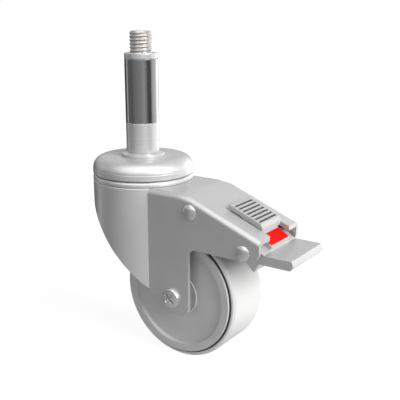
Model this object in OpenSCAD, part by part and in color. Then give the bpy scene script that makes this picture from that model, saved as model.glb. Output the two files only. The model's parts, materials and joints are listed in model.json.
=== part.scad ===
// Swivel castor with an expanding stem, a total-lock brake pedal and a ball-bearing wheel.
// Millimetres. The origin is on the stem's axis, at the face where the tube's end comes to rest.
// +X points from the stem towards the pedal, +Y runs along the axle, and +Z goes up into the tube.

/* [Stem] */
// Radius of the stem where it enters the tube
stem_r = 9.525; // [9:0.025:10.5]
// Length of the spacer tube below the sleeve
spacer_l = 16.9; // [10:0.1:30]
// Length of the rubber expander sleeve
sleeve_l = 35.7; // [25:0.1:50]
// Height of the round nut that squeezes the sleeve
nut_h = 3.4; // [2.5:0.1:6]
// Radius of the stud
stud_r = 6.35; // [5.6:0.05:6.6]
// Length of stud that stands above the nut
stud_end = 11.9; // [5:0.1:20]
// Chamfer at the stud's end
stud_chamfer = 1.2; // [0.5:0.1:2]
// Width across flats of the stud's hexagon head
stud_head_af = 19; // [16:0.1:20]
// Height of the stud's hexagon head
stud_head_h = 7.5; // [4:0.1:9]
// Radius of the seat washer
seat_r = 12.6; // [11:0.1:16]
// Thickness of the seat washer at its rim
seat_t = 1.6; // [1:0.1:4]
// Rise of the seat washer's cone
seat_rise = 0.8; // [0.3:0.1:1.5]

/* [Swivel head] */
// Outer radius of the swivel head and of the fork's pot
head_r = 29.3; // [28.6:0.1:31]
// Radius of the head's rounded shoulder
shoulder_r = 6.5; // [5:0.1:7]
// Height of the upper cup's rim
upper_rim_h = 3.4; // [2.5:0.1:5]
// Height of the lower cup's rim
lower_rim_h = 3.2; // [2.5:0.1:5]
// Radius that rounds the edges of both rims
rim_round = 0.7; // [0.3:0.1:1]
// Running gap between the two rims
rim_gap = 0.4; // [0.3:0.05:0.8]
// Sheet thickness of the two cups
cup_t = 2.4; // [2:0.1:2.6]
// Thickness of the lower cup's floor
floor_t = 1.2; // [1:0.1:1.5]
// Radius of the load balls
load_ball_r = 3; // [2.6:0.05:3.1]
// Distance from the upper cup's inner wall to the circle that the load balls run on
load_inset = 5.9; // [5.4:0.1:6.6]
// Radius of the retaining balls
hold_ball_r = 2; // [1.8:0.05:2.2]
// Radius of the circle that the retaining balls run on
hold_pitch_r = 14.3; // [14:0.1:15]
// Outer radius of the hollow kingpin
kingpin_r = 8.2; // [7.8:0.1:8.6]
// Radius of the kingpin's peened flange
kingpin_flange_r = 11.5; // [11:0.1:13]
// Thickness of the kingpin's peened flange
kingpin_flange_t = 1.8; // [1.2:0.1:2.5]

/* [Swivel lock] */
// Number of slots round the lock ring
lock_slots = 24; // [12:4:28]
// Distance from the head's outside in to the lock ring's edge
lock_inset = 4.8; // [3.8:0.1:5.8]
// Length of each slot
slot_l = 6.2; // [5.8:0.1:6.6]
// Width of each slot
slot_w = 3.6; // [3.4:0.1:3.7]
// Thickness of the lock ring
lock_t = 2.6; // [2:0.1:3]

/* [Fork] */
// Thickness of the fork's sheet
sheet_t = 2.3; // [2:0.1:2.6]
// Height of the fork's crown above the axle
fork_h = 60.6; // [59:0.1:64]
// Distance from the stem's axis to the axle
trail = 35.9; // [34:0.1:37]
// Width over the fork's flat side walls
fork_w = 42.8; // [42:0.1:44]
// Radius of the bend between the fork's top and its side walls
bend_r = 3.3; // [2.7:0.1:4]
// Height of the pot's wall at its back
rear_lip = 3.1; // [2:0.1:6]
// Height above the axle at which the pot's sloping edge passes below the stem
mid_cut_h = 23.2; // [20:0.1:27]
// Rounding of the leg round the axle, which is also how far the leg reaches below it
leg_round = 9.5; // [8:0.1:11]
// Distance of that rounding's centre in front of the axle
leg_front = 1.4; // [0:0.1:2]
// How far the leg reaches past the axle on the pedal's side
leg_back = 11.3; // [10:0.1:13]
// Rounding of the leg's corners on the pedal's side
leg_corner = 5; // [3:0.1:5.5]
// Depth of the arms' lower edge below the crown
arm_depth = 29.8; // [29:0.1:31]
// Reach of the arms past the axle
arm_reach = 55.2; // [54:0.1:57]
// Rounding of the arms' lower corner
arm_corner = 6.5; // [4:0.1:7]
// Where the flat top ends, past the stem's axis
flat_end = 39.5; // [36:0.1:42]
// Where the steep slope begins, past the stem's axis
slope_start = 48.5; // [47:0.1:50]
// Angle of the gentle slope
gentle_angle = 7.2; // [6.5:0.1:8]
// Angle of the steep slope
steep_angle = 20.6; // [20:0.1:21.2]
// Width of the slot that the release pad stands in
pad_slot_w = 21; // [20.6:0.1:22]
// Distance down the slope at which the slot begins
pad_slot_start = 26; // [25:0.1:26.5]

/* [Wheel] */
// Radius of the wheel
wheel_r = 37.5; // [36:0.1:38]
// Width of the wheel over its rims
wheel_w = 32; // [30:0.1:33]
// Width of the tread's flat running surface
tread_w = 28.4; // [26:0.1:28.6]
// Radius of the tread's foot, where it meets the rim
tread_foot_r = 34.1; // [33:0.1:34.5]
// Radius of the core under the tread
tread_seat_r = 31; // [30.2:0.1:32]
// Width of each rim flange
rim_flange = 1.1; // [0.8:0.1:1.6]
// Inner radius of the raised rim ring
rim_inner_r = 29.9; // [28:0.1:30]
// Depth of the disc below the rim ring
disc_depth = 1.7; // [1:0.1:6]
// Radius of the hub boss
hub_r = 12.3; // [12:0.1:14]
// Height of the hub boss above the disc
hub_rise = 0.6; // [0.3:0.1:1.7]

/* [Bearings and axle] */
// Radius of the axle bolt
axle_r = 4; // [3.6:0.05:4.1]
// Radius of the axle bolt's pan head
axle_head_r = 6; // [5.6:0.1:7]
// Height of the axle bolt's pan head
axle_head_h = 2.6; // [2:0.1:3.5]
// How far the axle bolt stands out of its nut
bolt_out = 1.5; // [0.5:0.1:3]
// Width across flats of the axle nut
axle_nut_af = 13; // [12:0.1:15]
// Height of the axle nut
axle_nut_h = 6.5; // [5:0.1:8]
// Outer radius of the wheel's ball bearings
bearing_r = 11; // [10.6:0.1:11.4]
// Width of each ball bearing
bearing_w = 7; // [6.6:0.1:8]
// Radius of the bearing's balls
bearing_ball_r = 1.98; // [1.8:0.02:2]
// Number of balls in each bearing
bearing_balls_n = 7; // [6:1:8]
// Thickness of the dust caps that close the hub
cap_t = 1; // [0.8:0.1:1.2]

/* [Brake lever] */
// Distance of the lever's pin past the stem's axis
lever_x = 48.6; // [48:0.1:49]
// Depth of the lever's pin below the crown
lever_depth = 9; // [8.9:0.1:9.3]
// Radius of the lever's pin and the pedal's pin
pin_r = 2.5; // [2:0.05:2.8]
// Radius of the domed rivet heads
rivet_r = 4.25; // [3.8:0.05:4.6]
// Height of the domed rivet heads
rivet_h = 1.7; // [1:0.1:2.2]
// Radius of the lever's eye
eye_r = 4.5; // [4.2:0.1:4.6]
// Width of the lever
lever_w = 16; // [14:0.1:18]
// Sheet thickness of the lever
lever_t = 2.2; // [1.8:0.1:2.4]
// Angle that the lever turns through when the brake is on
lock_angle = 4.5; // [4:0.1:4.8]
// How far the lever's front arm reaches past the slots' inner ends
lever_tip = 1.3; // [1:0.1:3]
// Depth of the lever's front arm
front_arm_d = 3.5; // [3:0.1:4]
// Width of the tooth that locks the swivel
tooth_w = 2.6; // [2.2:0.1:2.8]
// Length of the tooth along its slot
tooth_l = 3.6; // [3:0.1:4]
// Gap between the tooth and the lock ring when the brake is off
tooth_gap = 0.8; // [0.5:0.1:1]
// Radius of the lever's nose, which the pedal's cam pushes
nose_r = 2.5; // [2.2:0.1:2.7]
// Distance of the nose in front of the pedal's pin
nose_front = 9.5; // [9.3:0.1:9.8]
// Distance of the nose above the pedal's pin
nose_up = 0.7; // [0.5:0.1:1]
// Width of the brake shoe
shoe_w = 20; // [16:0.1:24]
// Thickness of the brake shoe
shoe_t = 3; // [2:0.1:4]
// Angle above the axle at which the shoe begins
shoe_from = 45; // [44:1:47]
// Angle that the shoe spans round the tread
shoe_span = 18; // [14:1:18]
// Distance between the shoe and the tread when the brake is on
shoe_gap = 0.5; // [0.5:0.05:0.8]
// Wire radius of the lever's return spring
spring_wire_r = 0.5; // [0.4:0.05:0.6]
// Radius of the return spring's coils, to the middle of the wire
spring_r = 3.4; // [3:0.1:3.8]
// Number of turns of the return spring
spring_turns = 5; // [4:1:6]
// Distance of the return spring in front of the lever's pin
spring_front = 13.6; // [13.2:0.1:14]

/* [Pedal] */
// Distance of the pedal's pin past the stem's axis
pedal_x = 81.5; // [81.2:0.1:81.8]
// Depth of the pedal's pin below the crown
pedal_depth = 25.3; // [25.1:0.1:25.4]
// Angle that the pedal turns through when it is pressed
pedal_angle = 18; // [16:0.5:18]
// Width of the pedal
pedal_w = 34.4; // [32:0.1:35]
// How far the pedal's plate reaches past its pin
pedal_reach = 26.8; // [24:0.1:30]
// Depth of the plate's underside below the pedal's pin
plate_drop = 5.7; // [5.2:0.1:6]
// Thickness of the pedal's plate
plate_t = 5.6; // [5:0.1:6.2]
// Thickness of the skin over the pocket under the plate, and of the pocket's ribs
plate_skin = 2; // [1.6:0.1:2.4]
// Distance past the pin at which the sloping front meets the plate
front_reach = 10.4; // [10:0.1:11]
// Angle of the pedal's sloping front
front_angle = 30; // [29:0.5:31]
// How far the heel reaches below the pedal's pin
heel_drop = 10.5; // [9:0.1:12]
// Depth below the fork's slope at which the release pad sits on the pedal
pad_seat = 1.5; // [1:0.1:2]
// Length of the release pad down the slope
pad_l = 22.6; // [21:0.1:22.8]
// How far the release pad's nose reaches up the slope from the slot's end
pad_nose = 9; // [8:0.1:10]
// Width of the release pad
pad_w = 19.8; // [19:0.1:20]
// Height of the release pad's face above the fork's slope
pad_rise = 3.2; // [2.8:0.1:3.6]
// Number of grooves across the release pad
pad_grooves = 7; // [4:1:7]
// Distance from groove to groove
groove_pitch = 2.65; // [2.4:0.05:2.7]
// Width of each groove
groove_w = 1.1; // [0.8:0.1:1.4]
// Depth of the grooves across the release pad
groove_depth = 0.7; // [0.4:0.1:1]
// Thickness of the indicator's inlay
indicator_t = 1; // [0.6:0.1:1.4]

/* [Fits] */
// Clearance between a pin and its hole, on the radius
fit = 0.05; // [0.02:0.01:0.08]
// Clearance between a ball and its race
ball_fit = 0.06; // [0.05:0.01:0.1]
// Clearance beside and between moving pieces
run_gap = 0.3; // [0.3:0.05:0.5]

/* [Hidden] */
$fn = 64;
e = 0.01;

// Heights down from the seat to the wheel's axle
head_top = -seat_rise - seat_t;
head_h = shoulder_r + upper_rim_h + lower_rim_h;
crown_z = head_top - head_h;
axle_z = crown_z - fork_h;
inner_hw = fork_w / 2 - sheet_t;

// Swivel bearing, in heights above the crown
race_floor = 1.1;
race_split = 0.6;
load_race_hw = 4.5;
hold_race_hw = 3.2;
load_z = floor_t + race_floor + load_ball_r + ball_fit;
load_pitch_r = head_r - cup_t - load_inset;
crown_hole_r = kingpin_r + 1.3;
hold_z = -sheet_t - race_floor - hold_ball_r - ball_fit;
hold_race_low = hold_z - hold_ball_r - ball_fit - race_floor;
lock_low = hold_race_low - lock_t;
flange_low = lock_low - kingpin_flange_t;
lock_r = head_r - lock_inset;
slot_root_r = lock_r - slot_l;
load_balls_n = floor(180 / asin((load_ball_r + ball_fit) / load_pitch_r));
hold_balls_n = floor(180 / asin((hold_ball_r + ball_fit) / hold_pitch_r));

// Fork outline, in distances past the stem's axis and heights above the axle
arm_end = trail + arm_reach;
arm_low = fork_h - arm_depth;
leg_depth = leg_round + 5;
gentle_drop = (slope_start - flat_end) * tan(gentle_angle);
slope_top = fork_h - gentle_drop;

// Wheel and bearing
disc_hw = wheel_w / 2 - disc_depth;
hub_out = disc_hw + hub_rise;
bearing_out = hub_out - cap_t;
bearing_in = bearing_out - bearing_w;
ring_pitch_r = (axle_r + bearing_r) / 2;
ring_t = 1.7;

// Brake lever, in the side view: its pin and its nose, and the wheel's middle as the released lever sees it
lever_pin_at = [lever_x, fork_h - lever_depth];
pedal_pin_at = [pedal_x, fork_h - pedal_depth];
nose_at = pedal_pin_at + [-nose_front, nose_up];
nose_on = turned(nose_at, lever_pin_at, lock_angle);
shoe_c = turned([trail, 0], lever_pin_at, -lock_angle);
shoe_back_r = wheel_r + shoe_gap + shoe_t;
shoe_a0 = shoe_from + lock_angle;
ring_low = fork_h + lock_low;
lever_end = slot_root_r - lever_tip;
front_arm_top = ring_low - run_gap - (lever_x - lever_end) * tan(lock_angle);
seat_h = lever_pin_at[1] - 2.3;
spring_x = lever_x - spring_front;
spring_hole_r = spring_r - spring_wire_r - 0.2;
lever_hollow = lever_w / 2 - lever_t;

// Pedal
pedal_low = pedal_pin_at[1] - plate_drop;
plate_top = pedal_low + plate_t;
front_x = pedal_x + front_reach;
pedal_end = pedal_x + pedal_reach;
plate_round = 2.6;
face_low = [front_x + 0.2, plate_top + 2.85];
face_l = 8.5;
indicator_hw = pad_w / 2 - 0.4;
cam_from = bearing(nose_at - pedal_pin_at);
cam_to = bearing(nose_on - pedal_pin_at) + pedal_angle;
cam_r0 = norm(nose_at - pedal_pin_at) - nose_r - run_gap;
cam_r1 = norm(nose_on - pedal_pin_at) - nose_r - run_gap;

// A point on or above the steep slope: s down it, and h out from its face
function slope_point(s, h) = [slope_start + s * cos(steep_angle) + h * sin(steep_angle),
    slope_top - s * sin(steep_angle) + h * cos(steep_angle)];

// The slope's own frame: x down the slope, z out from its face
module at_slope() translate([slope_start, 0, slope_top]) rotate([0, steep_angle, 0]) children();

// A point of the side view turned about c, a positive angle lowering what lies past c
function turned(p, c, a) = let (d = p - c) c + [d[0] * cos(a) + d[1] * sin(a), d[1] * cos(a) - d[0] * sin(a)];

// Direction of a vector, from 0 to 360 degrees
function bearing(v) = let (a = atan2(v[1], v[0])) a < 0 ? a + 360 : a;

// Where a line from p touches the circle about c, on its right-hand side
function touch(p, c, r) = let (d = c - p, a = atan2(d[1], d[0]) - asin(r / norm(d)))
    p + sqrt(d * d - r * r) * [cos(a), sin(a)];

// Points of an arc about c, from angle a0 to a1
function arc(c, r, a0, a1, n = 12) = [for (i = [0:n]) let (a = a0 + (a1 - a0) * i / n)
    c + r * [cos(a), sin(a)]];

module tube(r_in, r_out, z0, z1) {
    translate([0, 0, z0]) difference() {
        cylinder(r = r_out, h = z1 - z0);
        translate([0, 0, -1]) cylinder(r = r_in, h = z1 - z0 + 2);
    }
}

// Moves what is drawn in heights above the crown, or above the axle, to its place
module at_crown() translate([0, 0, crown_z]) children();
module at_axle() translate([0, 0, axle_z]) children();
module at_hub() translate([trail, 0, axle_z]) rotate([-90, 0, 0]) children();

// Extrudes a side view, with X across and heights above the axle upwards, to hw on both sides
module side(hw) rotate([90, 0, 0]) linear_extrude(2 * hw, center = true) children();

// Places what is drawn about Z on a pin that crosses the fork at p of the side view
module on_pin(p) translate([p[0], 0, p[1]]) rotate([90, 0, 0]) children();

module pin_hole(p, r) on_pin(p) cylinder(r = r + fit, h = 2 * fork_w, center = true);

// Both sides of the castor, mirrored across its middle plane
module both_sides() {
    children();
    mirror([0, 1, 0]) children();
}

module hexagon(af, h) cylinder(d = af / cos(30), h = h, $fn = 6);

// Outline of a rim whose outer edges are rounded, from r0 to r1 and z0 to z1
module rim_outline(r0, r1, z0, z1) {
    translate([r0, z0]) square([r1 - r0 - rim_round, z1 - z0]);
    translate([r0, z0 + rim_round]) square([r1 - r0, z1 - z0 - 2 * rim_round]);
    for (z = [z0 + rim_round, z1 - rim_round]) translate([r1 - rim_round, z]) circle(rim_round);
}

// Half outline of the head under its shoulder, inset by t, in heights above the crown
module dome_outline(t) {
    low = lower_rim_h + rim_gap / 2;
    corner_r = shoulder_r - t;
    translate([0, low]) square([head_r - shoulder_r, head_h - t - low]);
    translate([0, low]) square([head_r - t, head_h - shoulder_r - low]);
    translate([head_r - shoulder_r, head_h - shoulder_r]) circle(corner_r);
}

module threaded_stud() {
    top = spacer_l + sleeve_l + nut_h + stud_end;
    low = crown_z + flange_low;
    face_r = stud_head_af / 2 - 0.4;
    color("silver") {
        translate([0, 0, low - e]) cylinder(r = stud_r, h = top - stud_chamfer - low + e);
        translate([0, 0, top - stud_chamfer])
            cylinder(r1 = stud_r, r2 = stud_r - stud_chamfer * 0.7, h = stud_chamfer);
        translate([0, 0, low - stud_head_h]) intersection() {
            hexagon(stud_head_af, stud_head_h);
            cylinder(r1 = face_r, r2 = face_r + stud_head_h * tan(60), h = stud_head_h);
        }
    }
}

module expander_nut() {
    edge = 0.6;
    low = spacer_l + sleeve_l;
    color("gainsboro") translate([0, 0, low]) rotate_extrude() {
        translate([stud_r + fit, 0]) square([stem_r - stud_r - fit, nut_h - edge]);
        translate([stud_r + fit, 0]) square([stem_r - stud_r - fit - edge, nut_h]);
        translate([stem_r - edge, nut_h - edge]) circle(edge);
    }
}

module expander_sleeve() color("dimgray") tube(stud_r + fit, stem_r, spacer_l, spacer_l + sleeve_l);

module spacer_tube() color("lightgray") tube(stud_r + fit, stem_r, 0, spacer_l);

module seat_washer() {
    color("gainsboro") rotate_extrude() polygon([[stud_r + fit, head_top], [seat_r, head_top],
        [seat_r, -seat_rise], [stem_r, 0], [stud_r + fit, 0]]);
}

module top_cup() {
    color("gainsboro") at_crown() rotate_extrude() difference() {
        union() {
            intersection() {
                dome_outline(0);
                translate([0, lower_rim_h + upper_rim_h - rim_round])
                    square([head_r - rim_round / 3, head_h]);
            }
            rim_outline(0, head_r, lower_rim_h + rim_gap / 2, lower_rim_h + upper_rim_h);
        }
        difference() {
            union() {
                dome_outline(cup_t);
                square([head_r - cup_t, lower_rim_h + 1]);
            }
            translate([-head_r, 0]) square([head_r, head_h]);
        }
        translate([-1, 0]) square([kingpin_r + fit + 1, head_h + 1]);
        translate([-2 * head_r, -1]) square([2 * head_r, head_h + 2]);
    }
}

module upper_race() {
    color("darkgray") at_crown() rotate_extrude() difference() {
        intersection() {
            dome_outline(cup_t + fit);
            translate([load_pitch_r - load_race_hw, load_z + race_split]) square([2 * head_r, head_h]);
        }
        translate([load_pitch_r, load_z]) circle(load_ball_r + ball_fit);
    }
}

module lower_cup() {
    color("gainsboro") at_crown() rotate_extrude() {
        translate([crown_hole_r, 0]) square([head_r - cup_t - crown_hole_r + e, floor_t]);
        rim_outline(head_r - cup_t, head_r, 0, lower_rim_h - rim_gap / 2);
    }
}

module lower_race() {
    color("darkgray") at_crown() rotate_extrude() difference() {
        translate([load_pitch_r - load_race_hw, floor_t])
            square([2 * load_race_hw, load_z - race_split - floor_t]);
        translate([load_pitch_r, load_z]) circle(load_ball_r + ball_fit);
    }
}

module ball_circle(n, pitch_r, ball_r) {
    for (i = [0:n - 1]) rotate([0, 0, i * 360 / n]) translate([pitch_r, 0, 0]) sphere(ball_r, $fn = 24);
}

module load_balls() {
    color("white") at_crown() translate([0, 0, load_z]) ball_circle(load_balls_n, load_pitch_r, load_ball_r);
}

module hold_balls() {
    color("white") at_crown() translate([0, 0, hold_z]) ball_circle(hold_balls_n, hold_pitch_r, hold_ball_r);
}

module crown_race() {
    color("darkgray") at_crown() rotate_extrude() difference() {
        translate([hold_pitch_r - hold_race_hw, hold_z + race_split])
            square([2 * hold_race_hw, -sheet_t - hold_z - race_split]);
        translate([hold_pitch_r, hold_z]) circle(hold_ball_r + ball_fit);
    }
}

module hold_race() {
    color("darkgray") at_crown() rotate_extrude() difference() {
        translate([kingpin_r + fit, hold_race_low])
            square([hold_pitch_r + hold_race_hw - kingpin_r - fit, hold_z - race_split - hold_race_low]);
        translate([hold_pitch_r, hold_z]) circle(hold_ball_r + ball_fit);
    }
}

module lock_ring() {
    color("slategray") at_crown() difference() {
        tube(kingpin_r + fit, lock_r, lock_low, hold_race_low);
        for (i = [0:lock_slots - 1]) rotate([0, 0, i * 360 / lock_slots])
            translate([slot_root_r, -slot_w / 2, lock_low - 1]) cube([lock_r, slot_w, lock_t + 2]);
    }
}

module kingpin() {
    color("silver") at_crown() {
        tube(stud_r + fit, kingpin_r, lock_low - e, head_h);
        tube(stud_r + fit, kingpin_flange_r, flange_low, lock_low);
    }
}

// Side view of the fork: the pot's sloping edge, the leg and the arm
module fork_outline() {
    leg_c = [trail - leg_front, 0];
    back_x = trail + leg_back;
    tip_c = [arm_end - arm_corner, arm_low + arm_corner];
    polygon([[-head_r - 1, fork_h + 1], [-head_r - 1, fork_h - rear_lip], [-head_r, fork_h - rear_lip],
        [0, mid_cut_h], touch([0, mid_cut_h], leg_c, leg_round), [leg_c[0], -leg_round],
        [back_x - leg_corner, -leg_round], [back_x, leg_corner - leg_round], [back_x, arm_low],
        [tip_c[0], arm_low], [arm_end, tip_c[1]], [arm_end, fork_h + 1]]);
    translate(leg_c) circle(leg_round);
    translate([back_x - leg_corner, leg_corner - leg_round]) circle(leg_corner);
    translate(tip_c) circle(arm_corner);
    difference() {
        translate([back_x - e, arm_low - leg_corner]) square(leg_corner + e);
        translate([back_x + leg_corner, arm_low - leg_corner]) circle(leg_corner);
    }
}

// Section across the channel, inset by t, with its top face at 0 and its upper corners rounded by r
module channel_section(t, r) {
    hw = fork_w / 2 - t;
    depth = fork_h + 2 * leg_depth;
    translate([-hw, -depth]) square([2 * hw, depth - t - r]);
    if (r > 0) {
        translate([r - hw, -depth]) square([2 * (hw - r), depth - t]);
        for (s = [-1, 1]) translate([s * (hw - r), -t - r]) circle(r);
    }
}

// A straight stretch of the channel that passes through point p at slope a
module channel_run(p, a, t, r) {
    translate([p[0], 0, p[1]]) rotate([0, a, 0]) translate([-arm_end, 0, 0]) rotate([90, 0, 90])
        linear_extrude(2 * arm_end) channel_section(t, r);
}

// The channel from the stem's axis towards the pedal is what lies under all three stretches of its top
module arms(t, r) {
    intersection() {
        channel_run([flat_end, fork_h], 0, t, r);
        channel_run([flat_end, fork_h], gentle_angle, t, r);
        channel_run([slope_start, slope_top], steep_angle, t, r);
        translate([0, -fork_w, -leg_depth]) cube([2 * arm_end, 2 * fork_w, fork_h + 2 * leg_depth]);
    }
}

// The pot's solid, inset by t, with its upper edge broken by edge
module pot(t, edge) {
    r = head_r - t;
    translate([0, 0, -leg_depth]) cylinder(r = r, h = fork_h + leg_depth - t - edge);
    if (edge > 0) translate([0, 0, fork_h - edge]) cylinder(r1 = r, r2 = r - edge, h = edge);
}

module fork() {
    color("lightgray") at_axle() difference() {
        intersection() {
            union() {
                pot(0, 0.8);
                arms(0, bend_r);
            }
            side(2 * head_r) fork_outline();
        }
        pot(sheet_t, 0);
        arms(sheet_t, 0);
        translate([0, 0, fork_h - sheet_t - 1]) cylinder(r = crown_hole_r, h = sheet_t + 2);
        at_slope() translate([pad_slot_start, -pad_slot_w / 2, -leg_depth])
            cube([arm_reach, pad_slot_w, 2 * leg_depth]);
        pin_hole([trail, 0], axle_r);
        pin_hole(lever_pin_at, pin_r);
        pin_hole(pedal_pin_at, pin_r);
    }
}

module wheel_core() {
    hw = wheel_w / 2;
    wall = rim_inner_r - disc_depth * 0.75;
    seat_hw = hw - rim_flange;
    edge = 0.4;
    web_r = (hub_r + bearing_r) / 2;
    bore_r = axle_r + ring_t + 1.5;
    color("darkgray") at_hub() difference() {
        rotate_extrude() {
            translate([bore_r, -bearing_in]) square([hub_r - bore_r, 2 * bearing_in]);
            polygon([[web_r, -disc_hw], [wall, -disc_hw], [rim_inner_r, -hw], [tread_foot_r - edge, -hw],
                [tread_foot_r, edge - hw], [tread_foot_r, -seat_hw], [tread_seat_r, -seat_hw],
                [tread_seat_r, seat_hw], [tread_foot_r, seat_hw], [tread_foot_r, hw - edge],
                [tread_foot_r - edge, hw], [rim_inner_r, hw], [wall, disc_hw], [web_r, disc_hw]]);
            translate([bearing_r, -hub_out]) square([hub_r - bearing_r, 2 * hub_out]);
        }
        for (s = [-1, 1]) translate([0, 0, s * (bearing_in + bearing_w)])
            cylinder(r = bearing_r, h = 2 * bearing_w, center = true);
    }
}

module tread() {
    hw = wheel_w / 2 - rim_flange;
    flat = tread_w / 2;
    edge = 0.8;
    color("whitesmoke") at_hub() rotate_extrude() polygon([[tread_seat_r, -hw], [tread_foot_r, -hw],
        [wheel_r - edge, -flat], [wheel_r, edge - flat], [wheel_r, flat - edge], [wheel_r - edge, flat],
        [tread_foot_r, hw], [tread_seat_r, hw]]);
}

// Both bearings' middles, one in each end of the hub
module at_bearings() for (s = [-1, 1]) translate([0, 0, s * (bearing_in + bearing_w / 2)]) children();

// Half section of a bearing ring from r0 to r1, with its ball groove
module ring_outline(r0, r1) {
    difference() {
        translate([r0, -bearing_w / 2]) square([r1 - r0, bearing_w]);
        translate([ring_pitch_r, 0]) circle(bearing_ball_r + ball_fit);
    }
}

module outer_rings() {
    color("silver") at_hub() at_bearings() rotate_extrude() ring_outline(bearing_r - ring_t, bearing_r);
}

module inner_rings() {
    color("silver") at_hub() at_bearings() rotate_extrude() ring_outline(axle_r + fit, axle_r + ring_t);
}

module wheel_balls() {
    color("white") at_hub() at_bearings() ball_circle(bearing_balls_n, ring_pitch_r, bearing_ball_r);
}

module dust_caps() {
    color("darkgray") at_hub() for (s = [0, 1]) mirror([0, 0, s])
        tube(axle_r + ring_t + run_gap, bearing_r, bearing_out, hub_out);
}

module hub_spacer() color("silver") at_hub() tube(axle_r + fit, axle_r + ring_t, -bearing_in, bearing_in);

module side_bushes() {
    color("silver") at_hub() for (s = [0, 1]) mirror([0, 0, s])
        tube(axle_r + fit, axle_r + ring_t, bearing_out, inner_hw);
}

module axle_bolt() {
    recess_w = 0.22 * axle_head_r;
    recess_d = 0.6 * axle_head_h;
    chamfer = 0.2 * axle_r;
    crown_r = 1.5 * axle_head_r;
    head_low = -fork_w / 2 - axle_head_h;
    end = fork_w / 2 + axle_nut_h + bolt_out;
    color("silver") at_hub() difference() {
        union() {
            translate([0, 0, -fork_w / 2 - e]) cylinder(r = axle_r, h = fork_w / 2 + end - chamfer + e);
            translate([0, 0, end - chamfer]) cylinder(r1 = axle_r, r2 = axle_r - chamfer, h = chamfer);
            intersection() {
                translate([0, 0, head_low]) cylinder(r = axle_head_r, h = axle_head_h);
                translate([0, 0, head_low + crown_r]) sphere(crown_r);
            }
        }
        for (a = [45, 135]) translate([0, 0, head_low]) rotate([0, 0, a])
            cube([axle_head_r, recess_w, 2 * recess_d], center = true);
    }
}

module axle_nut() {
    insert_h = axle_nut_h * 0.28;
    color("silver") at_hub() translate([0, 0, fork_w / 2]) difference() {
        union() {
            hexagon(axle_nut_af, axle_nut_h - insert_h);
            cylinder(r = axle_nut_af / 2 - 0.3, h = axle_nut_h);
        }
        translate([0, 0, -1]) cylinder(r = axle_r + fit, h = axle_nut_h + 2);
    }
}

// A riveted pin through both side walls, with a domed head at each end
module rivet(p) {
    dome_r = (rivet_r * rivet_r + rivet_h * rivet_h) / (2 * rivet_h);
    on_pin(p) {
        cylinder(r = pin_r, h = fork_w + e, center = true);
        for (s = [0, 1]) mirror([0, 0, s]) intersection() {
            translate([0, 0, fork_w / 2 + rivet_h - dome_r]) sphere(dome_r);
            translate([0, 0, fork_w / 2]) cylinder(r = rivet_r, h = rivet_h + 1);
        }
    }
}

module lever_pin() color("silver") at_axle() rivet(lever_pin_at);

module pedal_pin() color("silver") at_axle() rivet(pedal_pin_at);

// Spacers that keep the lever and the pedal in the middle of the fork
module pin_spacers() {
    color("white") at_axle() both_sides() {
        on_pin(lever_pin_at) tube(pin_r + fit, eye_r, lever_w / 2 + run_gap, inner_hw);
        on_pin(pedal_pin_at) tube(pin_r + fit, eye_r, pedal_w / 2 + run_gap, inner_hw);
    }
}

// Side view of the lever: a front arm under the lock ring, an eye on the pin, and a rear arm over the shoe
module lever_outline() {
    low = front_arm_top - front_arm_d;
    clear_x = lock_r + 1.15 * front_arm_d;
    on_eye = eye_r - 0.1;
    on_nose = nose_r - 0.1;
    elbow = lever_pin_at + 0.47 * (nose_at - lever_pin_at);
    translate(lever_pin_at) circle(eye_r);
    translate(nose_at) circle(nose_r);
    polygon(concat([[lever_end, low], [lever_end, front_arm_top], [clear_x, front_arm_top],
        [clear_x + 3, seat_h], [lever_x - 1.33 * eye_r, seat_h],
        lever_pin_at + on_eye * [cos(144), sin(144)],
        lever_pin_at, lever_pin_at + on_eye * [cos(16), sin(16)], elbow,
        nose_at + on_nose * [cos(75), sin(75)], nose_at + on_nose * [cos(250), sin(250)]],
        arc(shoe_c, shoe_back_r, shoe_a0, shoe_a0 + shoe_span),
        [lever_pin_at + eye_r * [0.3, -1.55], lever_pin_at + eye_r * [-1, -1.45],
            [lever_end + 4 * front_arm_d, low]]));
}

// Side view of the space inside the lever, which is folded from sheet and open below
module lever_space() {
    intersection() {
        translate([0, -lever_t]) lever_outline();
        square([nose_at[0] - 2 * nose_r, fork_h]);
    }
}

// The part of that space that the brake shoe's root fills
module shoe_root() {
    from = shoe_c[0] + shoe_back_r * cos(shoe_a0 + 0.9 * shoe_span);
    intersection() {
        lever_space();
        translate([from, 0]) square([nose_at[0] - from, fork_h]);
    }
}

module brake_lever() {
    color("silver") at_axle() difference() {
        union() {
            side(lever_w / 2) lever_outline();
            translate([slot_root_r + 1.2, -tooth_w / 2, front_arm_top - 0.4])
                cube([tooth_l, tooth_w, ring_low - tooth_gap - front_arm_top + 0.4]);
            translate([spring_x, 0, seat_h - 0.4]) cylinder(r = spring_hole_r, h = 4 * spring_wire_r + 0.4);
        }
        side(lever_hollow) lever_space();
        pin_hole(lever_pin_at, pin_r);
    }
}

// The shoe is drawn with the brake off: it grips the tread when the lever has turned by lock_angle
module brake_shoe() {
    color("dimgray") at_axle() {
        side(shoe_w / 2) polygon(concat(arc(shoe_c, wheel_r + shoe_gap, shoe_a0, shoe_a0 + shoe_span),
            arc(shoe_c, shoe_back_r, shoe_a0 + shoe_span, shoe_a0)));
        side(lever_hollow - fit) shoe_root();
    }
}

// Rise of the spring's wire after u turns: the end turns lie close, and the others share the rest
function spring_rise(u, length) = let (closed = 2 * spring_wire_r + 0.1, free = length - 2 * closed)
    u < 1 ? u * closed
    : u > spring_turns - 1 ? length - (spring_turns - u) * closed
    : closed + (u - 1) / (spring_turns - 2) * free;

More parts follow.
